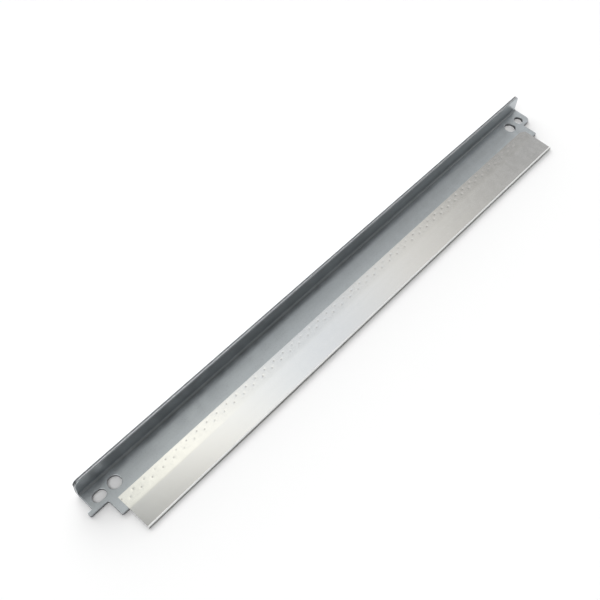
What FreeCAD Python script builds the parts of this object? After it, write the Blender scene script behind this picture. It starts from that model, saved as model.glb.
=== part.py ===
# Doctor blade of a laser printer's toner cartridge, in millimetres.
# Two pieces: a bracket bent from one strip of galvanised sheet steel, and a thin
# spring steel blade spot welded along its front, with its free edge bent down.
# Frame: X runs along the bar, Y points back to the upright flange, Z is up.
# The origin is on the bracket's underside, midway between the two screw holes.
import FreeCAD
import Part
import Sketcher
import math
import os

# Driving sizes
SIZES = [
    ("blade_length", 220.0, "end to end along the bar"),
    ("blade_width", 13.9, "front edge to rear edge"),
    ("blade_gauge", 0.1, "thickness of the spring steel"),
    ("blade_overhang", 8.8, "how far the blade runs out past the bracket"),
    ("tip_height", 1.2, "top of the blade to the lower edge of its bent tip"),
    ("tip_radius", 0.45, "outside radius of the tip's bend"),
    ("cut_along", 2.3, "right rear corner cut, measured along the bar"),
    ("cut_across", 1.3, "right rear corner cut, measured across the bar"),
    ("sheet_gauge", 1.2, "thickness of the bracket's sheet"),
    ("bracket_length", 235.2, "ear end to ear end"),
    ("bracket_depth", 15.7, "front edge of the plate to the back of the flange"),
    ("flange_height", 8.6, "underside of the plate to the top of the flange"),
    ("bend_radius", 0.8, "inside radius of the bend"),
    ("flange_corner", 2.0, "radius of the flange's top corners"),
    ("ear_length", 5.0, "how far an ear runs out past its arm"),
    ("ear_setback", 6.4, "front edge of the plate to the front edge of an ear"),
    ("ear_corner", 2.3, "radius of the right ear's front corner"),
    ("arm_corner", 0.6, "radius of the plate's front corners"),
    ("notch_corner", 0.5, "radius inside the corner between arm and ear"),
    ("finger_reach", 1.9, "how far the finger stands out past the left ear"),
    ("finger_width", 1.6, "width of the finger"),
    ("finger_corner", 0.4, "radius of the finger's corners"),
    ("screw_inset", 10.3, "end of an ear to the middle of its screw hole"),
    ("screw_hole", 4.6, "diameter of a screw hole"),
    ("locator_inset", 4.2, "end of an ear to the middle of its locating hole or slot"),
    ("locating_hole", 3.7, "diameter of the locating hole"),
    ("slot_width", 3.5, "width of the locating slot"),
    ("slot_travel", 1.4, "between the centres of the slot's round ends"),
    ("hole_setback", 9.7, "front edge of the plate to the line of the holes"),
]

doc = FreeCAD.newDocument("doctor_blade")
sheet = doc.addObject("Spreadsheet::Sheet", "Sizes")
for row, (alias, value, meaning) in enumerate(SIZES, start=1):
    sheet.set("A%d" % row, alias)
    sheet.set("B%d" % row, str(value))
    sheet.set("C%d" % row, meaning)
    sheet.setAlias("B%d" % row, alias)
doc.recompute()


class Size:
    """A length with its formula in the sheet's names and its value in millimetres."""

    def __init__(self, formula, value):
        self.formula = formula
        self.value = value

    def __add__(self, other):
        formula = "(%s + %s)" % (self.formula, other.formula)
        return Size(formula, self.value + other.value)

    def __sub__(self, other):
        formula = "(%s - %s)" % (self.formula, other.formula)
        return Size(formula, self.value - other.value)

    def __neg__(self):
        return Size("(-%s)" % self.formula, -self.value)

    def half(self):
        return Size("(%s / 2)" % self.formula, self.value / 2)


def size(alias):
    return Size("Sizes.%s" % alias, float(sheet.get(alias)))


NOUGHT = Size("0", 0.0)
SAME_PLACE = 1e-4

# Places that the sizes give, along X
half_blade = size("blade_length").half()
half_bracket = size("bracket_length").half()
arm_end = half_bracket - size("ear_length")
finger_tip = half_bracket + size("finger_reach")
screw_x = half_bracket - size("screw_inset")
locator_x = half_bracket - size("locator_inset")

# Places that the sizes give, along Y
plate_front = -size("hole_setback")
flange_back = plate_front + size("bracket_depth")
ear_front = plate_front + size("ear_setback")
finger_rear = ear_front + size("finger_width")
outer_bend = size("bend_radius") + size("sheet_gauge")
flange_face = flange_back - size("sheet_gauge")
blade_front = plate_front - size("blade_overhang")
blade_rear = blade_front + size("blade_width")

# Places that the sizes give, along Z
plate_top = size("sheet_gauge")
flange_top = size("flange_height")
blade_top = plate_top + size("blade_gauge")
tip_bottom = blade_top - size("tip_height")


def new_body(label):
    body = doc.addObject("PartDesign::Body", label)
    body.Label = label
    return body


def new_sketch(body, name, plane):
    """A sketch on one of the body's own origin planes."""
    sketch = body.newObject("Sketcher::SketchObject", name)
    for feature in body.Origin.OriginFeatures:
        if feature.Role == plane:
            sketch.AttachmentSupport = [(feature, "")]
    sketch.MapMode = "FlatFace"
    return sketch


def bind(sketch, index, length):
    sketch.setExpression("Constraints[%d]" % index, length.formula)


def fix_point(sketch, geometry, end, place):
    """Hold one point of the sketch at its place from the sketch's origin."""
    for direction, length in zip(("DistanceX", "DistanceY"), place):
        rule = Sketcher.Constraint(direction, -1, 1, geometry, end, length.value)
        bind(sketch, sketch.addConstraint(rule), length)


def vector(place):
    return FreeCAD.Vector(place[0].value, place[1].value, 0)


def draw_outline(sketch, places):
    """A closed outline of straight edges through the places, in order."""
    edges = []
    for start, end in zip(places, places[1:] + places[:1]):
        edges.append(sketch.addGeometry(Part.LineSegment(vector(start), vector(end)), False))
    for edge, following in zip(edges, edges[1:] + edges[:1]):
        sketch.addConstraint(Sketcher.Constraint("Coincident", edge, 2, following, 1))
    for edge, start in zip(edges, places):
        fix_point(sketch, edge, 1, start)


def draw_circle(sketch, centre, diameter):
    up = FreeCAD.Vector(0, 0, 1)
    circle = sketch.addGeometry(Part.Circle(vector(centre), up, diameter.value / 2), False)
    fix_point(sketch, circle, 3, centre)
    rule = Sketcher.Constraint("Diameter", circle, diameter.value)
    bind(sketch, sketch.addConstraint(rule), diameter)


def draw_slot(sketch, centre, width, travel):
    """A slot along X: two half circles joined by straight sides."""
    quarter = math.pi / 2
    radius = width.half()
    left = (centre[0] - travel.half(), centre[1])
    right = (centre[0] + travel.half(), centre[1])
    up = FreeCAD.Vector(0, 0, 1)
    ends = []
    for place, first, last in ((right, -quarter, quarter), (left, quarter, 3 * quarter)):
        circle = Part.Circle(vector(place), up, radius.value)
        arc = sketch.addGeometry(Part.ArcOfCircle(circle, first, last), False)
        fix_point(sketch, arc, 3, place)
        ends.append(arc)
    right_end, left_end = ends
    rise = FreeCAD.Vector(0, radius.value, 0)
    far_side = Part.LineSegment(vector(right) + rise, vector(left) + rise)
    near_side = Part.LineSegment(vector(left) - rise, vector(right) - rise)
    far_side = sketch.addGeometry(far_side, False)
    near_side = sketch.addGeometry(near_side, False)
    for first, second in ((right_end, far_side), (far_side, left_end),
                          (left_end, near_side), (near_side, right_end)):
        sketch.addConstraint(Sketcher.Constraint("Tangent", first, 2, second, 1))
    rule = Sketcher.Constraint("Radius", right_end, radius.value)
    bind(sketch, sketch.addConstraint(rule), radius)


def edges_along(shape, axis, places):
    """Names of the straight edges along one axis that pass through the places."""
    across = {"X": ("y", "z"), "Y": ("x", "z"), "Z": ("x", "y")}[axis]
    names = []
    for number, edge in enumerate(shape.Edges, start=1):
        ends = [vertex.Point for vertex in edge.Vertexes]
        for place in places:
            gaps = [abs(getattr(end, side) - length.value)
                    for end in ends for side, length in zip(across, place)]
            if len(ends) == 2 and max(gaps) < SAME_PLACE:
                names.append("Edge%d" % number)
    return names


def round_edges(body, name, axis, places, radius):
    """Round the body's edges along one axis at the places."""
    doc.recompute()
    base = body.Tip
    fillet = body.newObject("PartDesign::Fillet", name)
    fillet.Base = (base, edges_along(base.Shape, axis, places))
    fillet.setExpression("Radius", radius.formula)
    body.Tip = fillet


def cut_through(body, name, sketch, height):
    """Cut the sketch's outline out of the body, from the floor up to a height."""
    volume_before = body.Tip.Shape.Volume
    cut = body.newObject("PartDesign::Pocket", name)
    cut.Profile = sketch
    cut.Reversed = True
    cut.setExpression("Length", height.formula)
    body.Tip = cut
    doc.recompute()
    print("%s took away %.2f cubic mm" % (name, volume_before - cut.Shape.Volume))


def make_bracket():
    body = new_body("bracket")

    # Flat plate with an arm and an ear at each end, and a finger on the left ear
    outline = new_sketch(body, "plate_outline", "XY_Plane")
    right_arm = (arm_end, plate_front)
    right_notch = (arm_end, ear_front)
    right_ear = (half_bracket, ear_front)
    finger_root = (-half_bracket, finger_rear)
    finger_shoulder = (-finger_tip, finger_rear)
    finger_nose = (-finger_tip, ear_front)
    left_notch = (-arm_end, ear_front)
    left_arm = (-arm_end, plate_front)
    draw_outline(outline, [
        right_arm, right_notch, right_ear,
        (half_bracket, flange_back), (-half_bracket, flange_back),
        finger_root, finger_shoulder, finger_nose, left_notch, left_arm,
    ])
    plate = body.newObject("PartDesign::Pad", "plate")
    plate.Profile = outline
    plate.setExpression("Length", plate_top.formula)
    body.Tip = plate

    # Upright flange along the whole rear edge
    section = new_sketch(body, "flange_section", "YZ_Plane")
    draw_outline(section, [
        (flange_face, NOUGHT), (flange_back, NOUGHT),
        (flange_back, flange_top), (flange_face, flange_top),
    ])
    flange = body.newObject("PartDesign::Pad", "flange")
    flange.Profile = section
    flange.Midplane = True
    flange.setExpression("Length", size("bracket_length").formula)
    body.Tip = flange

    # The bend inside and outside, then the corners
    round_edges(body, "bend_inside", "X", [(flange_face, plate_top)], size("bend_radius"))
    round_edges(body, "bend_outside", "X", [(flange_back, NOUGHT)], outer_bend)
    round_edges(body, "flange_corners", "Y",
                [(half_bracket, flange_top), (-half_bracket, flange_top)],
                size("flange_corner"))
    round_edges(body, "ear_corner_round", "Z", [right_ear], size("ear_corner"))
    round_edges(body, "arm_corners", "Z", [right_arm, left_arm], size("arm_corner"))
    round_edges(body, "notch_corners", "Z", [right_notch, left_notch], size("notch_corner"))
    round_edges(body, "finger_corners", "Z",
                [finger_root, finger_shoulder, finger_nose], size("finger_corner"))
    doc.recompute()

    # Screw holes, locating hole on the right and locating slot on the left
    holes = new_sketch(body, "hole_plan", "XY_Plane")
    draw_circle(holes, (screw_x, NOUGHT), size("screw_hole"))
    draw_circle(holes, (-screw_x, NOUGHT), size("screw_hole"))
    draw_circle(holes, (locator_x, NOUGHT), size("locating_hole"))
    draw_slot(holes, (-locator_x, NOUGHT), size("slot_width"), size("slot_travel"))
    cut_through(body, "hole_cut", holes, plate_top)
    return body


def make_blade():
    body = new_body("blade")

    # Flat strip on the plate, with its front edge bent down
    inner_front = blade_front + size("blade_gauge")
    section = new_sketch(body, "blade_section", "YZ_Plane")
    draw_outline(section, [
        (blade_rear, plate_top), (blade_rear, blade_top), (blade_front, blade_top),
        (blade_front, tip_bottom), (inner_front, tip_bottom), (inner_front, plate_top),
    ])
    strip = body.newObject("PartDesign::Pad", "strip")
    strip.Profile = section
    strip.Midplane = True
    strip.setExpression("Length", size("blade_length").formula)
    body.Tip = strip
    round_edges(body, "tip_outside", "X", [(blade_front, blade_top)], size("tip_radius"))
    round_edges(body, "tip_inside", "X", [(inner_front, plate_top)],
                size("tip_radius") - size("blade_gauge"))
    doc.recompute()

    # Right rear corner cut off
    corner = new_sketch(body, "corner_plan", "XY_Plane")
    draw_outline(corner, [
        (half_blade, blade_rear), (half_blade - size("cut_along"), blade_rear),
        (half_blade, blade_rear - size("cut_across")),
    ])
    cut_through(body, "corner_cut", corner, blade_top)
    return body


bodies = [make_bracket(), make_blade()]
doc.recompute()

# Every feature has to be sound before anything is written
for thing in doc.Objects:
    if "Invalid" in thing.State or "Error" in thing.State:
        raise RuntimeError("%s failed: %s" % (thing.Name, thing.State))
for body in bodies:
    if body.Shape.isNull() or not body.Shape.isValid():
        raise RuntimeError("%s has no sound solid" % body.Label)

os.makedirs("parts", exist_ok=True)
for body in bodies:
    body.Shape.exportStep("parts/%s.step" % body.Label)
    box = body.Shape.BoundBox
    print("%s: %d solid, %.1f cubic mm, X %.2f to %.2f, Y %.2f to %.2f, Z %.2f to %.2f" % (
        body.Label, len(body.Shape.Solids), body.Shape.Volume,
        box.XMin, box.XMax, box.YMin, box.YMax, box.ZMin, box.ZMax))
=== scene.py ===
# Doctor blade of a laser printer's toner cartridge, lying on a pale table.
# A bracket of galvanised sheet carries a thin bright blade, spot welded along its rear.
# Lengths are in metres, in the bracket's own frame: X along the bar, Y back, Z up.
import math
import random

import bmesh
import bpy
from mathutils import Matrix, Vector


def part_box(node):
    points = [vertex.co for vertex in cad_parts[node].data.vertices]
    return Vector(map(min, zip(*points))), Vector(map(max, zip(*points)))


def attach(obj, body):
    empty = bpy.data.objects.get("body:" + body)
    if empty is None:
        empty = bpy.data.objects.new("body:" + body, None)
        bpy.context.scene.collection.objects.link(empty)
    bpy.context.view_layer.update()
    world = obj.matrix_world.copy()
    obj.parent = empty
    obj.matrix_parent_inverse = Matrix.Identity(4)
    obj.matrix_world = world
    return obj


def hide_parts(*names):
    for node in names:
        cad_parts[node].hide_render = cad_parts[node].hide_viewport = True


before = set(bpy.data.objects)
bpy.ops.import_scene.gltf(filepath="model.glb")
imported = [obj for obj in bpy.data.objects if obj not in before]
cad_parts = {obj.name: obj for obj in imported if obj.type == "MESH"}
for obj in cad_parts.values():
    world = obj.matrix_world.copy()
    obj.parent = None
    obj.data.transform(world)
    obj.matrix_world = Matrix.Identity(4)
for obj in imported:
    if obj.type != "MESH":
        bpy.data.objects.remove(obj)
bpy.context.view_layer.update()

MM = 0.001

# Places read from the frame
bracket_low, bracket_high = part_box("bracket")
blade_low, blade_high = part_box("blade")

# Bracket: sheet, bend and flange
SHEET_GAUGE = 1.2 * MM
PLATE_TOP = SHEET_GAUGE
PLATE_FRONT = bracket_low.y
BEND_RADIUS = 0.8 * MM
BEND_STEPS = 10
BEND_START = bracket_high.y - SHEET_GAUGE - BEND_RADIUS
FLANGE_TOP = bracket_high.z
FLANGE_CORNER = 2.0 * MM
FLANGE_CORNER_STEPS = 12

# Bracket: an ear past each arm, and a finger past the left ear
EAR_END = bracket_high.x
EAR_FRONT = PLATE_FRONT + 6.4 * MM
EAR_CORNER = 2.3 * MM
EAR_CORNER_STEPS = 14
ARM_END = EAR_END - 5.0 * MM
ARM_CORNER = 0.6 * MM
NOTCH_CORNER = 0.5 * MM
FINGER_TIP = bracket_low.x
FINGER_REAR = EAR_FRONT + 1.6 * MM
FINGER_CORNER = 0.4 * MM
CORNER_STEPS = 8

# Bracket: holes, all on the line where Y is 0
SCREW_X = EAR_END - 10.3 * MM
SCREW_RADIUS = 2.3 * MM
LOCATOR_X = EAR_END - 4.2 * MM
LOCATOR_RADIUS = 1.85 * MM
SLOT_RADIUS = 1.75 * MM
SLOT_TRAVEL = 1.4 * MM
HOLE_STEPS = 48

# Bracket: cut edges, where a punch leaves a rounded entry, a bright band and a torn band.
# The levels are shares of the way through the sheet, and the torn band lies a step inside.
ENTRY_ROUND = 0.14 * MM
ENTRY_STEPS = 4
EXIT_ROUND = 0.05 * MM
EXIT_STEPS = 2
BRIGHT_END = 0.45
TORN_START = 0.5
TORN_STEP = 0.03 * MM
CUT_LEVELS = (0.0, BRIGHT_END, TORN_START, 1.0)
TORN_LEVEL = CUT_LEVELS.index(TORN_START)
TOP_SIDE, BOTTOM_SIDE, CUT_SIDE = 1, 2, 3

# Blade: strip, bent tip and the line where its painted edge highlight starts, and the cut corner at
# its right rear
BLADE_GAUGE = 0.1 * MM
BLADE_TOP = blade_high.z
BLADE_FOOT = blade_low.z
BLADE_FRONT = blade_low.y
BLADE_REAR = blade_high.y
BLADE_END = blade_high.x
TIP_RADIUS = 0.25 * MM
TIP_STEPS = 8
HIGHLIGHT_START = BLADE_FRONT + 0.7 * MM
HIGHLIGHT_DROP = 0.08 * MM
CUT_ALONG = 2.3 * MM
CUT_ACROSS = 1.3 * MM

# Blade: the free part sags, and more so towards the left end
DROOP = 0.2 * MM
LEFT_DROOP = 0.2 * MM
LEFT_START = -50.0 * MM
LEFT_REACH = 50.0 * MM

# Blade: rows of the grid across the strip, away from the welds
REAR_LOOP = 0.12 * MM
EDGE_LOOPS = (-0.8 * MM, -0.05 * MM)
FREE_START = 0.35 * MM
FREE_STEP = 1.2 * MM
FREE_ROWS = 7

# Spot welds: two staggered rows on a grid of equal cells
WELD_PITCH = 4.5 * MM
CELL_LENGTH = WELD_PITCH / 2
CELL_DEPTH = 1.4 * MM
CELL_PARTS = 4
GRID_STEP = CELL_LENGTH / CELL_PARTS
GRID_START = 0.6 * MM
FIRST_CELL = 0.6 * MM
WELD_RADIUS = 0.36 * MM
WELD_RADIUS_SPREAD = (0.85, 1.15)
WELD_DEPTH = 0.014 * MM
WELD_DEPTH_SPREAD = (0.6, 1.2)
WELD_RIM = 0.12 * MM
INNER_RING = 0.55
INNER_DEPTH = 0.8
WELD_END_GAP = 2.2 * MM
WELD_SEED = 7
REAR_ROW = (GRID_START + WELD_PITCH / 2, BLADE_REAR - FIRST_CELL - CELL_DEPTH * 0.5)
FRONT_ROW = (GRID_START, BLADE_REAR - FIRST_CELL - CELL_DEPTH * 1.5)
WELD_ROWS = (REAR_ROW, FRONT_ROW)

# Mesh making: the loop that keeps a flat face flat beside a rounding, and what counts as near
FLAT_LOOP = 0.03 * MM
SHARP_ANGLE = math.radians(32)
SAME_POINT = 0.0001 * MM
MERGE_REACH = 0.001 * MM
NEAR_POINT = 0.01 * MM


# Meshes

def new_piece(name, bm, materials, node):
    """Put a finished mesh in the scene as the piece that stands for a node of the frame."""
    mesh = bpy.data.meshes.new(name)
    bm.to_mesh(mesh)
    bm.free()
    for material in materials:
        mesh.materials.append(material)
    mesh.shade_smooth()
    mesh.set_sharp_from_angle(angle=SHARP_ANGLE)
    piece = bpy.data.objects.new(name, mesh)
    bpy.context.scene.collection.objects.link(piece)
    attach(piece, "root")
    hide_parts(node)


def face_up(bm):
    """Turn all faces of an open sheet so that its upper side is its outside."""
    bmesh.ops.recalc_face_normals(bm, faces=bm.faces)
    if sum(face.normal.z * face.calc_area() for face in bm.faces) < 0:
        bmesh.ops.reverse_faces(bm, faces=bm.faces)


def round_place(bm, x, y, radius, steps):
    """Round the outline's corner at a place."""
    corner = [vert for vert in bm.verts
              if abs(vert.co.x - x) < SAME_POINT and abs(vert.co.y - y) < SAME_POINT]
    bmesh.ops.bevel(bm, geom=corner, affect="VERTICES", offset=radius, offset_type="OFFSET",
                    segments=steps, profile=0.5, material=-1)


def hole_loop(bm, centre_x, radius, height, travel=0.0):
    """A round hole's edges, or a slot's where its two half rounds stand apart."""
    made = bmesh.ops.create_circle(bm, segments=HOLE_STEPS, radius=radius)
    for vert in made["verts"]:
        aside = math.copysign(travel / 2, vert.co.x) if abs(vert.co.x) > SAME_POINT else 0.0
        vert.co += Vector((centre_x + aside, 0.0, height))


def edges_at(bm, y):
    """The edges that run along the bar at a place."""
    return [edge for edge in bm.edges
            if all(abs(vert.co.y - y) < SAME_POINT for vert in edge.verts)]


def run_on(bm, edges, way):
    """Carry edges on as a strip, and give the strip's far edges."""
    made = bmesh.ops.extrude_edge_only(bm, edges=edges)["geom"]
    far_verts = [part for part in made if isinstance(part, bmesh.types.BMVert)]
    bmesh.ops.translate(bm, verts=far_verts, vec=way)
    return [part for part in made
            if isinstance(part, bmesh.types.BMEdge) and all(vert in made for vert in part.verts)]


def plate_sheet(bm, height, rear):
    """The flat plate's face at a height, with its rounded corners and its holes."""
    outline = [
        (ARM_END, PLATE_FRONT), (ARM_END, EAR_FRONT), (EAR_END, EAR_FRONT),
        (EAR_END, rear), (-EAR_END, rear), (-EAR_END, FINGER_REAR),
        (FINGER_TIP, FINGER_REAR), (FINGER_TIP, EAR_FRONT),
        (-ARM_END, EAR_FRONT), (-ARM_END, PLATE_FRONT),
    ]
    corners = [
        (ARM_END, PLATE_FRONT, ARM_CORNER, CORNER_STEPS),
        (-ARM_END, PLATE_FRONT, ARM_CORNER, CORNER_STEPS),
        (ARM_END, EAR_FRONT, NOTCH_CORNER, CORNER_STEPS),
        (-ARM_END, EAR_FRONT, NOTCH_CORNER, CORNER_STEPS),
        (EAR_END, EAR_FRONT, EAR_CORNER, EAR_CORNER_STEPS),
        (-EAR_END, FINGER_REAR, FINGER_CORNER, CORNER_STEPS),
        (FINGER_TIP, FINGER_REAR, FINGER_CORNER, CORNER_STEPS),
        (FINGER_TIP, EAR_FRONT, FINGER_CORNER, CORNER_STEPS),
    ]
    bm.faces.new([bm.verts.new((x, y, height)) for x, y in outline])
    for x, y, radius, steps in corners:
        round_place(bm, x, y, radius, steps)

    # Only the outline's edges stay, and the fill leaves the holes open
    bmesh.ops.delete(bm, geom=bm.faces[:], context="FACES_ONLY")
    hole_loop(bm, SCREW_X, SCREW_RADIUS, height)
    hole_loop(bm, -SCREW_X, SCREW_RADIUS, height)
    hole_loop(bm, LOCATOR_X, LOCATOR_RADIUS, height)
    hole_loop(bm, -LOCATOR_X, SLOT_RADIUS, height, SLOT_TRAVEL)
    bmesh.ops.triangle_fill(bm, edges=bm.edges[:], use_beauty=True, use_dissolve=False,
                            normal=(0.0, 0.0, 1.0))


def bracket_sheet():
    """The bent sheet's upper face, sunk by the rounding that its rim will raise it by."""
    bm = bmesh.new()
    plate_rear = BEND_START - FLAT_LOOP
    bend_middle = (0.0, BEND_START, PLATE_TOP + BEND_RADIUS)
    flange_rise = FLANGE_TOP - PLATE_TOP - BEND_RADIUS - FLAT_LOOP
    plate_sheet(bm, PLATE_TOP - ENTRY_ROUND, plate_rear)

    # The rear edge turns up through the bend and runs on to the flange's top
    run_on(bm, edges_at(bm, plate_rear), Vector((0.0, FLAT_LOOP, 0.0)))
    start_edges = edges_at(bm, BEND_START)
    start_verts = dict.fromkeys(vert for edge in start_edges for vert in edge.verts)
    turned = bmesh.ops.spin(bm, geom=[*start_edges, *start_verts], cent=bend_middle,
                            axis=(1.0, 0.0, 0.0), angle=math.radians(90), steps=BEND_STEPS)
    bend_end = [part for part in turned["geom_last"] if isinstance(part, bmesh.types.BMEdge)]
    flange_foot = run_on(bm, bend_end, Vector((0.0, 0.0, FLAT_LOOP)))
    top_edge = run_on(bm, flange_foot, Vector((0.0, 0.0, flange_rise)))
    top_verts = dict.fromkeys(vert for edge in top_edge for vert in edge.verts)
    corners = [vert for vert in top_verts if abs(abs(vert.co.x) - EAR_END) < SAME_POINT]
    bmesh.ops.bevel(bm, geom=corners, affect="VERTICES", offset=FLANGE_CORNER,
                    offset_type="OFFSET", segments=FLANGE_CORNER_STEPS, profile=0.5, material=-1)
    bmesh.ops.remove_doubles(bm, verts=bm.verts, dist=SAME_POINT)
    return bm


def round_rim(bm, faces, radius, steps):
    """Raise a sheet face by insets that follow a quarter circle, with a flat loop inside them."""
    for step in range(steps):
        start = math.radians(90 * step / steps)
        end = math.radians(90 * (step + 1) / steps)
        bmesh.ops.inset_region(bm, faces=faces, use_boundary=True, use_even_offset=True,
                               thickness=radius * (math.cos(start) - math.cos(end)),
                               depth=radius * (math.sin(end) - math.sin(start)))
    bmesh.ops.inset_region(bm, faces=faces, use_boundary=True, use_even_offset=True,
                           thickness=FLAT_LOOP)


def side_of(face, top_verts):
    """Which side of the thick sheet a face is on."""
    tops = sum(vert in top_verts for vert in face.verts)
    if tops == len(face.verts):
        return TOP_SIDE
    return CUT_SIDE if tops else BOTTOM_SIDE


def cut_level(vert, share):
    """Which of the cut's levels a point is on: 0 at the entry, and the last at the exit."""
    return round(vert[share] * (len(CUT_LEVELS) - 1))


def make_bracket(zinc, burnish_and_shade, torn_and_shade):
    """Give the bent sheet its thickness, then its punched edges."""
    bm = bracket_sheet()
    face_up(bm)
    side = bm.faces.layers.int.new("side")
    share = bm.verts.layers.float.new("share")
    drop = bm.verts.layers.float_vector.new("drop")
    outward = bm.verts.layers.float_vector.new("outward")
    top_verts = set(bm.verts)
    bmesh.ops.solidify(bm, geom=bm.faces[:], thickness=SHEET_GAUGE - ENTRY_ROUND - EXIT_ROUND)
    for face in bm.faces:
        face[side] = side_of(face, top_verts)

    # Both ends of an edge through the sheet keep the way through it and the way out of it
    through = [edge for edge in bm.edges
               if (edge.verts[0] in top_verts) != (edge.verts[1] in top_verts)]
    for edge in through:
        top, foot = edge.verts if edge.verts[0] in top_verts else reversed(edge.verts)
        foot[share] = 1.0
        top[drop] = foot[drop] = foot.co - top.co
        normals = sum((face.normal for face in edge.link_faces), Vector())
        top[outward] = foot[outward] = normals.normalized()
    bmesh.ops.subdivide_edges(bm, edges=through, cuts=len(CUT_LEVELS) - 2)
    for face in bm.faces:
        if face[side] == CUT_SIDE:
            nearest = min(cut_level(vert, share) for vert in face.verts)
            face.material_index = 1 if nearest == 0 else 2
    for vert in bm.verts:
        level = cut_level(vert, share)
        vert.co += vert[drop] * (CUT_LEVELS[level] - vert[share])
        if level >= TORN_LEVEL:
            vert.co -= vert[outward] * TORN_STEP
    round_rim(bm, [face for face in bm.faces if face[side] == TOP_SIDE], ENTRY_ROUND, ENTRY_STEPS)
    round_rim(bm, [face for face in bm.faces if face[side] == BOTTOM_SIDE], EXIT_ROUND, EXIT_STEPS)
    new_piece("bracket_sheet", bm, [zinc, burnish_and_shade, torn_and_shade], "bracket")


def blade_rows():
    """The strip's section as rows of points, from its rear over the tip to its foot."""
    weld_backs = [FIRST_CELL + CELL_DEPTH / CELL_PARTS * part
                  for part in range(len(WELD_ROWS) * CELL_PARTS + 1)]
    plate_edge = BLADE_REAR - PLATE_FRONT
    edge_backs = [plate_edge + loop for loop in EDGE_LOOPS]
    free_backs = [plate_edge + FREE_START + FREE_STEP * step for step in range(FREE_ROWS)]
    highlight_back = BLADE_REAR - HIGHLIGHT_START
    backs = [0.0, REAR_LOOP, *weld_backs, *edge_backs, *free_backs, highlight_back]
    rows = [(BLADE_REAR - back, BLADE_TOP) for back in backs]
    for step in range(TIP_STEPS + 1):
        turn = math.radians(90 * step / TIP_STEPS)
        rows.append((BLADE_FRONT + TIP_RADIUS * (1 - math.sin(turn)),
                     BLADE_TOP - TIP_RADIUS * (1 - math.cos(turn))))
    rows.append((BLADE_FRONT, BLADE_TOP - TIP_RADIUS - FLAT_LOOP))
    rows.append((BLADE_FRONT, BLADE_FOOT))
    return rows


def blade_columns():
    """The grid's places along the blade, with its two ends."""
    first = -math.floor((BLADE_END + GRID_START) / GRID_STEP)
    last = math.floor((BLADE_END - GRID_START) / GRID_STEP)
    inner = [GRID_START + step * GRID_STEP for step in range(first, last + 1)]
    return [-BLADE_END, *inner, BLADE_END]


def droop(x, y):
    """How far the free part sags below the bracket's plane."""
    share = max(0.0, (PLATE_FRONT - y) / (PLATE_FRONT - BLADE_FRONT))
    to_left = min(max((LEFT_START - x) / LEFT_REACH, 0.0), 1.0)
    return (DROOP + LEFT_DROOP * to_left * to_left * (3 - 2 * to_left)) * min(share, 1.0)


def blade_sheet():
    """The strip's outer face: a flat grid laid over the section's rows, with its foot level."""
    rows = blade_rows()
    columns = blade_columns()
    bm = bmesh.new()
    bmesh.ops.create_grid(bm, x_segments=len(columns) - 1, y_segments=len(rows) - 1, size=1.0)
    for vert in bm.verts:
        column = round((vert.co.x + 1) / 2 * (len(columns) - 1))
        row = round((1 - vert.co.y) / 2 * (len(rows) - 1))
        x = columns[column]
        y, z = rows[row]
        sag = droop(x, y) if row < len(rows) - 1 else 0.0
        vert.co = Vector((x, y, z - sag))
    return bm


def make_blade(strip, edge_highlight, painted_tip_shade):
    """The thin strip with its bent-down front edge, cut corner and two rows of spot welds."""
    bm = blade_sheet()
    # Painted light along the tip: the rounded front edge takes the painted highlight, and the bend
    # below it and the foot take the painted shade
    for face in bm.faces:
        middle = face.calc_center_median()
        if middle.y < HIGHLIGHT_START:
            highlight_foot = BLADE_TOP - droop(middle.x, middle.y) - HIGHLIGHT_DROP
            face.material_index = 1 if middle.z > highlight_foot else 2
    cut_start = Vector((BLADE_END - CUT_ALONG, BLADE_REAR, BLADE_TOP))
    bmesh.ops.bisect_plane(bm, geom=bm.verts[:] + bm.edges[:] + bm.faces[:], plane_co=cut_start,
                           plane_no=(CUT_ACROSS, CUT_ALONG, 0.0), clear_outer=True)
    bmesh.ops.remove_doubles(bm, verts=bm.verts, dist=MERGE_REACH)
    face_up(bm)
    bmesh.ops.solidify(bm, geom=bm.faces[:], thickness=BLADE_GAUGE)
    sink_welds(bm)
    new_piece("blade_strip", bm, [strip, edge_highlight, painted_tip_shade], "blade")


def weld_middle(vert):
    """Whether a point of the top face is the middle of a spot weld."""
    if vert.co.z < BLADE_TOP - NEAR_POINT or abs(vert.co.x) > BLADE_END - WELD_END_GAP:
        return False
    for start_x, row_y in WELD_ROWS:
        place = (vert.co.x - start_x) / WELD_PITCH
        along = abs(place - round(place)) * WELD_PITCH
        if abs(vert.co.y - row_y) < NEAR_POINT and along < NEAR_POINT:
            return True
    return False


def sink_welds(bm):
    """Turn the faces around each weld's middle into a small round dent."""
    middles = [vert for vert in bm.verts if weld_middle(vert)]
    patches = dict.fromkeys(face for vert in middles for face in vert.link_faces)
    bmesh.ops.inset_region(bm, faces=list(patches), use_even_offset=True, thickness=WELD_RIM)
    chance = random.Random(WELD_SEED)
    for middle in middles:
        radius = WELD_RADIUS * chance.uniform(*WELD_RADIUS_SPREAD)
        depth = WELD_DEPTH * chance.uniform(*WELD_DEPTH_SPREAD)
        inner = {vert for face in middle.link_faces for vert in face.verts} - {middle}
        around = {edge.other_vert(vert) for vert in inner for edge in vert.link_edges}
        shape_ring(middle.co, inner, radius * INNER_RING, depth * INNER_DEPTH)
        shape_ring(middle.co, around - inner - {middle}, radius, 0.0)
        middle.co.z -= depth


def shape_ring(centre, ring, radius, depth):
    """Move eight points around a centre onto a circle, and sink them."""
    reach_x = max(abs(vert.co.x - centre.x) for vert in ring)
    reach_y = max(abs(vert.co.y - centre.y) for vert in ring)
    for vert in ring:
        turn = math.atan2((vert.co.y - centre.y) / reach_y, (vert.co.x - centre.x) / reach_x)
        vert.co = Vector((centre.x + radius * math.cos(turn), centre.y + radius * math.sin(turn),
                          centre.z - depth))


# Node helpers

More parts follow.
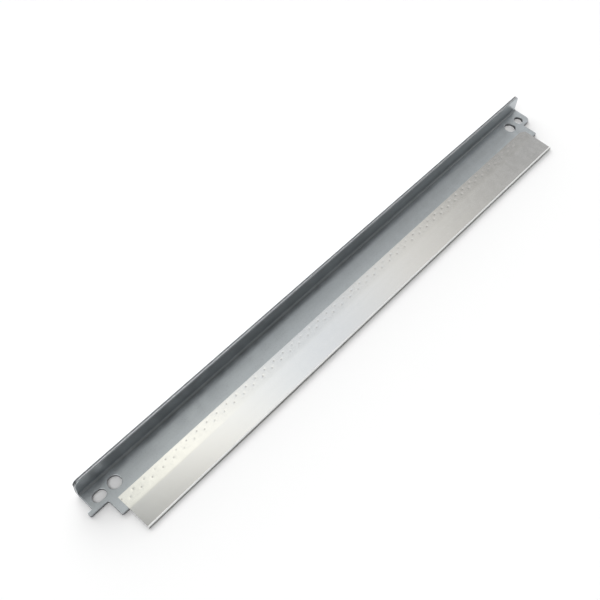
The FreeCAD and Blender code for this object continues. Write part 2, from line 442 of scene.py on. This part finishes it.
def add_node(tree, kind, **settings):
    """A new node with its settings."""
    node = tree.nodes.new(kind)
    for name, value in settings.items():
        setattr(node, name, value)
    return node


def wire(tree, start, end):
    """Link a socket to a socket, or set the end socket to a number or a row of numbers."""
    if isinstance(start, (int, float, tuple)):
        end.default_value = start
    else:
        tree.links.new(start, end)


def new_group(name, inputs, outputs):
    """An empty shader node group, with the sockets that it is given and those that it puts out."""
    group = bpy.data.node_groups.new(name, "ShaderNodeTree")
    for socket_name, value in inputs.items():
        kind = "NodeSocketVector" if isinstance(value, tuple) else "NodeSocketFloat"
        socket = group.interface.new_socket(name=socket_name, in_out="INPUT", socket_type=kind)
        socket.default_value = value
    for socket_name in outputs:
        group.interface.new_socket(name=socket_name, in_out="OUTPUT", socket_type="NodeSocketFloat")
    given = add_node(group, "NodeGroupInput").outputs
    made = add_node(group, "NodeGroupOutput").inputs
    return group, given, made


def place_group(tree, group, **values):
    """A group placed in a tree with its own values, and what it puts out."""
    node = add_node(tree, "ShaderNodeGroup", node_tree=group)
    for name, value in values.items():
        wire(tree, value, node.inputs[name.replace("_", " ")])
    return node.outputs


def math_step(tree, operation, first, second=0.0):
    """One sum on two values, each a socket or a number."""
    node = add_node(tree, "ShaderNodeMath", operation=operation)
    wire(tree, first, node.inputs[0])
    wire(tree, second, node.inputs[1])
    return node.outputs[0]


def product(tree, first, second):
    """Two values multiplied."""
    return math_step(tree, "MULTIPLY", first, second)


def mixture(tree, first, second, share):
    """A share of the first value with the rest of the second."""
    return math_step(tree, "ADD", product(tree, first, share), product(tree, second, 1.0 - share))


def spread(tree, value, old_range, new_range=(0.0, 1.0)):
    """Spread a range of a value smoothly over another range."""
    node = add_node(tree, "ShaderNodeMapRange", interpolation_type="SMOOTHSTEP")
    wire(tree, value, node.inputs["Value"])
    for name, end in zip(("From Min", "From Max", "To Min", "To Max"), (*old_range, *new_range)):
        wire(tree, end, node.inputs[name])
    return node.outputs["Result"]


def object_axes(tree):
    """The object's own coordinates, one by one."""
    coords = add_node(tree, "ShaderNodeTexCoord")
    axes = add_node(tree, "ShaderNodeSeparateXYZ")
    wire(tree, coords.outputs["Object"], axes.inputs["Vector"])
    return axes.outputs


def stretched_noise(tree, along, across, detail):
    """Noise on the object's own coordinates, with its sizes along and across the bar."""
    coords = add_node(tree, "ShaderNodeTexCoord")
    size = add_node(tree, "ShaderNodeCombineXYZ")
    wire(tree, along, size.inputs["X"])
    wire(tree, across, size.inputs["Y"])
    wire(tree, across, size.inputs["Z"])
    scaled = add_node(tree, "ShaderNodeVectorMath", operation="DIVIDE")
    wire(tree, coords.outputs["Object"], scaled.inputs[0])
    wire(tree, size.outputs["Vector"], scaled.inputs[1])
    noise = add_node(tree, "ShaderNodeTexNoise")
    wire(tree, scaled.outputs["Vector"], noise.inputs["Vector"])
    wire(tree, 1.0, noise.inputs["Scale"])
    wire(tree, detail, noise.inputs["Detail"])
    return noise.outputs["Fac"]


def blend_colours(tree, first, second, factor):
    """Mix two colours, each a socket or three numbers."""
    node = add_node(tree, "ShaderNodeMix", data_type="RGBA")
    wire(tree, factor, node.inputs["Factor"])
    for colour, socket in ((first, node.inputs[6]), (second, node.inputs[7])):
        wire(tree, (*colour, 1.0) if isinstance(colour, tuple) else colour, socket)
    return node.outputs[2]


def bump(tree, height, depth):
    """A normal that follows a height."""
    node = add_node(tree, "ShaderNodeBump")
    wire(tree, depth, node.inputs["Distance"])
    wire(tree, height, node.inputs["Height"])
    return node.outputs["Normal"]


def new_metal(name):
    """A bare metal material, its tree and its shader's inputs."""
    material = bpy.data.materials.new(name)
    material.use_nodes = True
    surface = material.node_tree.nodes["Principled BSDF"].inputs
    surface["Metallic"].default_value = 1.0
    return material, material.node_tree, surface


# Grain and mottle, the effects that the metals share

# The middle of a noise's values is spread over the whole range
NOISE_RANGE = (0.3, 0.7)
SCRATCH_FINENESS = 0.12
PIT_EDGE = 0.12


def grain_group():
    """Rolled grain along the bar: soft streaks, and finer scratches."""
    group, given, made = new_group("rolled_grain", {"Along": 20.0 * MM, "Across": 1.0 * MM},
                                   ("Streaks", "Scratches"))
    streaks = stretched_noise(group, given["Along"], given["Across"], detail=3.0)
    fine = product(group, given["Across"], SCRATCH_FINENESS)
    scratches = stretched_noise(group, given["Along"], fine, detail=1.0)
    wire(group, spread(group, streaks, NOISE_RANGE), made["Streaks"])
    wire(group, spread(group, scratches, NOISE_RANGE), made["Scratches"])
    return group


def mottle_group():
    """Cloudy patches and fine pits that run the same in all directions."""
    group, given, made = new_group("mottle",
                                   {"Patch": 3.0 * MM, "Pit": 0.4 * MM, "Pit Share": 0.3},
                                   ("Patches", "Pits"))
    patches = stretched_noise(group, given["Patch"], given["Patch"], detail=3.0)
    pits = stretched_noise(group, given["Pit"], given["Pit"], detail=1.0)
    pit_range = (given["Pit Share"], math_step(group, "ADD", given["Pit Share"], PIT_EDGE))
    wire(group, spread(group, patches, NOISE_RANGE), made["Patches"])
    wire(group, spread(group, pits, pit_range, (1.0, 0.0)), made["Pits"])
    return group


# Galvanised coat: colours, roughness, relief, and painted shade where the sheet was bent
ZINC_DARK = (0.472, 0.503, 0.522)
ZINC_LIGHT = (0.536, 0.57, 0.591)
ZINC_PIT = (0.4, 0.423, 0.445)
PIT_STRENGTH = 0.5
# Painted shade: the dark colour laid over the foot of the bend, and the span where it lies
ZINC_CREASE_SHADE = (0.3, 0.318, 0.33)
ZINC_ROUGHNESS = (0.33, 0.39)
ZINC_RELIEF = 0.002 * MM
CREASE_SHADE_FROM_FRONT = (BEND_START - 0.5 * MM, BEND_START + 0.2 * MM)
CREASE_SHADE_UP_TO = (PLATE_TOP + 0.1 * MM, PLATE_TOP + 0.6 * MM)
CREASE_SHADE_STRENGTH = 0.8


def zinc_coat(grain, mottle):
    """Dull bluish galvanised sheet: cloudy, faintly streaked, with fine pits, and painted shade at
    the foot of the bend.
    """
    material, tree, surface = new_metal("galvanised_coat")
    streaks = place_group(tree, grain, Along=30.0 * MM, Across=1.2 * MM)
    cloud = place_group(tree, mottle, Patch=3.5 * MM, Pit=0.35 * MM, Pit_Share=0.3)
    tone = mixture(tree, streaks["Streaks"], cloud["Patches"], share=0.35)
    colour = blend_colours(tree, ZINC_DARK, ZINC_LIGHT, tone)
    colour = blend_colours(tree, colour, ZINC_PIT, product(tree, cloud["Pits"], PIT_STRENGTH))

    # Painted shade: the coat is darkened at the foot of the bend, where the plate turns up into the
    # flange
    place = object_axes(tree)
    behind = spread(tree, place["Y"], CREASE_SHADE_FROM_FRONT)
    below = spread(tree, place["Z"], CREASE_SHADE_UP_TO, (CREASE_SHADE_STRENGTH, 0.0))
    colour = blend_colours(tree, colour, ZINC_CREASE_SHADE, product(tree, behind, below))
    wire(tree, colour, surface["Base Color"])
    roughness = spread(tree, cloud["Patches"], (0.0, 1.0), ZINC_ROUGHNESS)
    wire(tree, roughness, surface["Roughness"])
    height = math_step(tree, "SUBTRACT", cloud["Patches"], cloud["Pits"])
    wire(tree, bump(tree, height, ZINC_RELIEF), surface["Normal"])
    return material


# Bright strip: colours, roughness and relief
STEEL_DARK = (0.682, 0.682, 0.676)
STEEL_LIGHT = (0.72, 0.72, 0.714)
STEEL_ROUGHNESS = (0.165, 0.185)
STEEL_RELIEF = 0.0002 * MM

# Marks of the welding: a stain at each weld and faint blotches between them; and a painted warm
# sheen on the welded band, strongest at the left end
BAND_SHEEN_TINT = (0.745, 0.73, 0.67)
SHEEN_FROM = (PLATE_FRONT - 1.0 * MM, PLATE_FRONT + 0.3 * MM)
SHEEN_FADES = (-100.0 * MM, -50.0 * MM)
SHEEN_STRENGTH = (0.7, 0.1)
STAIN = (0.373, 0.35, 0.328)
STAIN_REACH = (0.12 * MM, 0.42 * MM)
STAIN_FADES = (-80.0 * MM, 60.0 * MM)
STAIN_STRENGTH = (0.55, 0.16)
STAIN_CLOUD = 2.0 * MM
STAIN_CLOUD_RANGE = (0.35, 0.65)
STAIN_CLOUD_STRENGTH = (0.3, 1.0)
BLOTCH = (0.45, 0.44, 0.42)
BLOTCHED_FROM = (PLATE_FRONT, PLATE_FRONT + 1.5 * MM)
BLOTCH_LENGTH = 1.1 * MM
BLOTCH_WIDTH = 0.9 * MM
BLOTCH_RANGE = (0.5, 0.7)
BLOTCH_STRENGTH = (0.0, 0.1)


def weld_distance(tree, place, start_x, row_y):
    """The distance to the nearest weld of a row."""
    along = math_step(tree, "SUBTRACT", place["X"], start_x - WELD_PITCH / 2)
    cell = add_node(tree, "ShaderNodeMath", operation="WRAP")
    for value, socket in zip((along, WELD_PITCH, 0.0), cell.inputs):
        wire(tree, value, socket)
    aside = math_step(tree, "SUBTRACT", cell.outputs[0], WELD_PITCH / 2)
    across = math_step(tree, "SUBTRACT", place["Y"], row_y)
    squares = math_step(tree, "ADD", product(tree, aside, aside), product(tree, across, across))
    return math_step(tree, "SQRT", squares)


def add_weld_marks_and_sheen(tree, colour):
    """The strip's colour with the marks that the welding left on its band, and a painted warm sheen
    on that band.
    """
    place = object_axes(tree)
    # Painted reflection: the band over the plate is painted lighter and warmer towards the left
    # end, where it catches the light unlike the free part
    on_plate = spread(tree, place["Y"], SHEEN_FROM)
    sheen_share = spread(tree, place["X"], SHEEN_FADES, SHEEN_STRENGTH)
    colour = blend_colours(tree, colour, BAND_SHEEN_TINT, product(tree, on_plate, sheen_share))

    # Each weld's stain is as dark as the cloud there, and stains fade towards the right end
    nearest = math_step(tree, "MINIMUM", *(weld_distance(tree, place, *row) for row in WELD_ROWS))
    stain = spread(tree, nearest, STAIN_REACH, (1.0, 0.0))
    fade = spread(tree, place["X"], STAIN_FADES, STAIN_STRENGTH)
    cloud = stretched_noise(tree, STAIN_CLOUD, STAIN_CLOUD, detail=0.0)
    darkness = product(tree, fade, spread(tree, cloud, STAIN_CLOUD_RANGE, STAIN_CLOUD_STRENGTH))
    colour = blend_colours(tree, colour, STAIN, product(tree, stain, darkness))

    # Between the welds the heat and the splashes left faint blotches
    in_band = spread(tree, place["Y"], BLOTCHED_FROM)
    splashes = stretched_noise(tree, BLOTCH_LENGTH, BLOTCH_WIDTH, detail=2.0)
    blotch = spread(tree, splashes, BLOTCH_RANGE, BLOTCH_STRENGTH)
    return blend_colours(tree, colour, BLOTCH, product(tree, in_band, blotch))


def blade_steel(grain, mottle):
    """Bright rolled strip with faint lengthwise grain, marks along the weld rows, and a painted
    warm sheen on the welded band.
    """
    material, tree, surface = new_metal("bright_strip")
    streaks = place_group(tree, grain, Along=30.0 * MM, Across=0.9 * MM)
    cloud = place_group(tree, mottle, Patch=2.5 * MM, Pit=0.3 * MM, Pit_Share=0.25)
    tone = mixture(tree, streaks["Streaks"], cloud["Patches"], share=0.2)
    colour = blend_colours(tree, STEEL_DARK, STEEL_LIGHT, tone)
    wire(tree, add_weld_marks_and_sheen(tree, colour), surface["Base Color"])
    roughness = spread(tree, cloud["Patches"], (0.0, 1.0), STEEL_ROUGHNESS)
    wire(tree, roughness, surface["Roughness"])
    wire(tree, bump(tree, streaks["Scratches"], STEEL_RELIEF), surface["Normal"])
    return material


# Edge metals, their colours holding painted light: dark and light colour, roughness, share of pits,
# relief
# The punched edges' dark colours are partly the dull cut steel and partly painted shade from the
# table's contact shadow under the sheet's rim
BRIGHT_CUT_AND_SHADE = ((0.2, 0.207, 0.214), (0.31, 0.319, 0.328), 0.3, 0.3, 0.003 * MM)
TORN_CUT_AND_SHADE = ((0.065, 0.068, 0.072), (0.16, 0.166, 0.172), 0.6, 0.42, 0.01 * MM)
# Painted highlight: a near-white colour on the blade's rounded front edge, for the bright line
# along it
EDGE_HIGHLIGHT = ((0.9, 0.9, 0.89), (0.96, 0.96, 0.95), 0.5, 0.2, 0.0005 * MM)
# Painted shade: a dark colour on the blade's bent-down tip face, which stands in the contact shadow
# at the table
PAINTED_TIP_SHADE = ((0.2, 0.197, 0.19), (0.27, 0.266, 0.258), 0.3, 0.25, 0.001 * MM)


def cut_metal(name, grain, mottle, finish):
    """A metal for an edge: streaked by the tool and pitted, in given colours; those of the cut
    edges and the tip face carry painted shade, and the blade's front edge a painted highlight.
    """
    dark, light, roughness, pit_share, relief = finish
    material, tree, surface = new_metal(name)
    streaks = place_group(tree, grain, Along=0.4 * MM, Across=0.4 * MM)
    cloud = place_group(tree, mottle, Patch=0.8 * MM, Pit=0.25 * MM, Pit_Share=pit_share)
    tone = mixture(tree, streaks["Streaks"], cloud["Patches"], share=0.5)
    colour = blend_colours(tree, dark, light, tone)
    wire(tree, blend_colours(tree, colour, dark, cloud["Pits"]), surface["Base Color"])
    wire(tree, roughness, surface["Roughness"])
    height = math_step(tree, "SUBTRACT", tone, cloud["Pits"])
    wire(tree, bump(tree, height, relief), surface["Normal"])
    return material


# Table
TABLE_REACH = 20.0
TABLE_WHITE = (0.97, 0.97, 0.97, 1.0)
TABLE_ROUGHNESS = 0.9


def make_table():
    """A plain matt white table top that reaches to the horizon."""
    bm = bmesh.new()
    bmesh.ops.create_grid(bm, x_segments=1, y_segments=1, size=TABLE_REACH)
    mesh = bpy.data.meshes.new("table")
    bm.to_mesh(mesh)
    bm.free()
    table = bpy.data.objects.new("table", mesh)
    bpy.context.scene.collection.objects.link(table)
    material = bpy.data.materials.new("table_white")
    material.use_nodes = True
    surface = material.node_tree.nodes["Principled BSDF"].inputs
    surface["Base Color"].default_value = TABLE_WHITE
    surface["Roughness"].default_value = TABLE_ROUGHNESS
    surface["Specular IOR Level"].default_value = 0.0
    mesh.materials.append(material)


# The studio's soft lights: name, azimuth from +X, elevation, angle where it ends, colour
SKY = [
    ("left_key", 61.4, 66.4, 9.0, (0.49, 0.525, 0.54)),
    ("low_left_key", 66.8, 57.9, 12.0, (0.54, 0.53, 0.49)),
    ("warm_key", 45.7, 66.7, 9.0, (0.52, 0.49, 0.42)),
    ("key", 37.9, 63.4, 9.0, (0.465, 0.46, 0.445)),
    ("cool_key", 33.5, 60.0, 9.0, (0.07, 0.13, 0.22)),
    ("middle_key", 27.0, 55.8, 9.0, (0.265, 0.25, 0.23)),
    ("right_key", 23.2, 52.0, 9.0, (0.5, 0.485, 0.45)),
    ("low_key", 38.0, 46.5, 12.0, (0.12, 0.12, 0.12)),
    ("key_surround", 40.0, 61.0, 20.0, (0.42, 0.42, 0.415)),
    ("high_left", 175.0, 62.0, 28.0, (3.1, 3.1, 3.1)),
    ("left", 180.0, 30.0, 50.0, (0.2, 0.2, 0.2)),
    ("high_front_left", 225.0, 50.0, 45.0, (0.2, 0.2, 0.2)),
    ("high_front_right", 315.0, 50.0, 45.0, (0.15, 0.15, 0.15)),
    ("low_rear", 90.0, 18.0, 40.0, (3.5, 3.5, 3.5)),
    ("low_rear_right", 70.0, 28.0, 30.0, (2.0, 2.0, 2.0)),
    ("low_right", 45.0, 10.0, 30.0, (3.5, 3.5, 3.5)),
    ("right", 0.0, 18.0, 40.0, (1.1, 1.1, 1.1)),
    ("low_front_left", 225.0, 18.0, 40.0, (0.4, 0.4, 0.4)),
    ("low_front", 275.0, 10.0, 45.0, (0.2, 0.2, 0.2)),
    ("low_front_right", 320.0, 10.0, 40.0, (0.12, 0.12, 0.12)),
]
BACKDROP = (0.98, 0.98, 0.98)


def direction(azimuth, elevation):
    """The unit vector towards a place in the sky, its angles given in degrees."""
    turn, rise = math.radians(azimuth), math.radians(elevation)
    return (math.cos(rise) * math.cos(turn), math.cos(rise) * math.sin(turn), math.sin(rise))


def soft_light_group():
    """A soft round light in the sky: how much of it lies in a direction."""
    group, given, made = new_group("soft_light", {"Direction": (0.0, 0.0, 1.0),
                                                  "Middle": (0.0, 0.0, 1.0), "Outer": 0.0},
                                   ("Amount",))
    unit = add_node(group, "ShaderNodeVectorMath", operation="NORMALIZE")
    wire(group, given["Direction"], unit.inputs[0])
    nearness = add_node(group, "ShaderNodeVectorMath", operation="DOT_PRODUCT")
    wire(group, unit.outputs["Vector"], nearness.inputs[0])
    wire(group, given["Middle"], nearness.inputs[1])
    wire(group, spread(group, nearness.outputs["Value"], (given["Outer"], 1.0)), made["Amount"])
    return group


def make_world():
    """The studio: the sum of its soft lights, behind a plain backdrop."""
    world = bpy.data.worlds.new("studio")
    world.use_nodes = True
    tree = world.node_tree
    view = add_node(tree, "ShaderNodeTexCoord")
    soft_light = soft_light_group()
    total = (0.0, 0.0, 0.0)
    for name, azimuth, elevation, outer, colour in SKY:
        light = place_group(tree, soft_light, Direction=view.outputs["Generated"],
                            Middle=direction(azimuth, elevation),
                            Outer=math.cos(math.radians(outer)))
        step = add_node(tree, "ShaderNodeVectorMath", operation="MULTIPLY_ADD", label=name)
        for value, socket in zip((light["Amount"], colour, total), step.inputs):
            wire(tree, value, socket)
        total = step.outputs["Vector"]

    # The lights shine on the scene, but the camera sees a plain backdrop past the table's edge
    sight = add_node(tree, "ShaderNodeLightPath")
    sky = blend_colours(tree, total, BACKDROP, sight.outputs["Is Camera Ray"])
    wire(tree, sky, tree.nodes["Background"].inputs["Color"])
    bpy.context.scene.world = world


# Camera
CAMERA_PLACE = Vector((-158.8, -107.3, 263.8)) * MM
CAMERA_AIM = Vector((-16.8, -6.4, 0.0)) * MM
CAMERA_ROLL = math.radians(7.16)
CAMERA_LENS = 53.97
CAMERA_SHIFT = (-0.0399, 0.0310)
SENSOR_WIDTH = 36.0
CLIP_START = 10.0 * MM


def make_camera():
    """The camera at the photograph's viewing angle."""
    camera = bpy.data.cameras.new("camera")
    camera.lens = CAMERA_LENS
    camera.sensor_width = SENSOR_WIDTH
    camera.shift_x, camera.shift_y = CAMERA_SHIFT
    camera.clip_start = CLIP_START
    holder = bpy.data.objects.new("camera", camera)
    bpy.context.scene.collection.objects.link(holder)
    aimed = (CAMERA_AIM - CAMERA_PLACE).to_track_quat("-Z", "Y").to_matrix().to_4x4()
    rolled = aimed @ Matrix.Rotation(CAMERA_ROLL, 4, "Z")
    holder.matrix_world = Matrix.Translation(CAMERA_PLACE) @ rolled
    bpy.context.scene.camera = holder


grain = grain_group()
mottle = mottle_group()
zinc = zinc_coat(grain, mottle)
burnish_and_shade = cut_metal("shaded_burnished_edge", grain, mottle, BRIGHT_CUT_AND_SHADE)
torn_and_shade = cut_metal("shaded_torn_edge", grain, mottle, TORN_CUT_AND_SHADE)
strip = blade_steel(grain, mottle)
edge_highlight = cut_metal("blade_edge_highlight", grain, mottle, EDGE_HIGHLIGHT)
painted_tip_shade = cut_metal("blade_front_shade", grain, mottle, PAINTED_TIP_SHADE)

make_bracket(zinc, burnish_and_shade, torn_and_shade)
make_blade(strip, edge_highlight, painted_tip_shade)
make_table()
make_world()
make_camera()
bpy.context.scene.view_settings.view_transform = "Standard"
